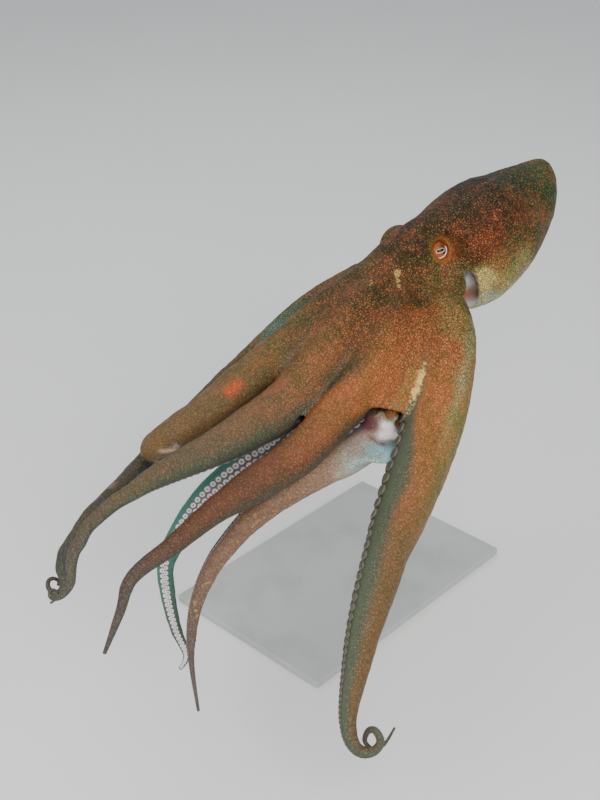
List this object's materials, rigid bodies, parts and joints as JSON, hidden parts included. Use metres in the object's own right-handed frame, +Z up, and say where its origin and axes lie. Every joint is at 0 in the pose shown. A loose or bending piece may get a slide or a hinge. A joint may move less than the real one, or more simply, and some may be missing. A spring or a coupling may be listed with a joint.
{
  "type": "octopus on a display stand",
  "caption": "Life-size common octopus swimming mantle first with its arms trailing, held by a plain rod on a flat base.",
  "frame": {"origin": "centre of the underside of the stand's base, at the level of the floor", "axes": "+Z up; +X the way the animal swims, mantle first; its left side faces -Y"},
  "size_m": [0.6615, 0.3526, 0.4199],
  "materials": {
    "octopus_skin": "damp, finely grained",
    "octopus_eye": "wet gloss",
    "octopus_pale_flesh": "damp, smooth",
    "stand_paint": "satin",
    "stand_steel": "brushed"
  },
  "bodies": {
    "root": {"arm_l1_upper": "octopus_skin", "arm_l1_middle": "octopus_skin", "arm_l1_tip": "octopus_skin", "arm_l2_upper": "octopus_skin", "arm_l2_middle": "octopus_skin", "arm_l2_tip": "octopus_skin", "arm_l3_upper": "octopus_skin", "arm_l3_middle": "octopus_skin", "arm_l3_tip": "octopus_skin", "arm_l4_upper": "octopus_skin", "arm_l4_middle": "octopus_skin", "arm_l4_tip": "octopus_skin", "arm_r1_upper": "octopus_skin", "arm_r1_middle": "octopus_skin", "arm_r1_tip": "octopus_skin", "arm_r2_upper": "octopus_skin", "arm_r2_middle": "octopus_skin", "arm_r2_tip": "octopus_skin", "arm_r3_upper": "octopus_skin", "arm_r3_middle": "octopus_skin", "arm_r3_tip": "octopus_skin", "arm_r4_upper": "octopus_skin", "arm_r4_middle": "octopus_skin", "arm_r4_tip": "octopus_skin", "crown": "octopus_skin", "head": "octopus_skin", "mantle": "octopus_skin", "eye_left": "octopus_eye", "eye_right": "octopus_eye", "funnel": "octopus_pale_flesh", "stand_base": "stand_paint", "stand_rod": "stand_steel"}
  },
  "joints": []
}
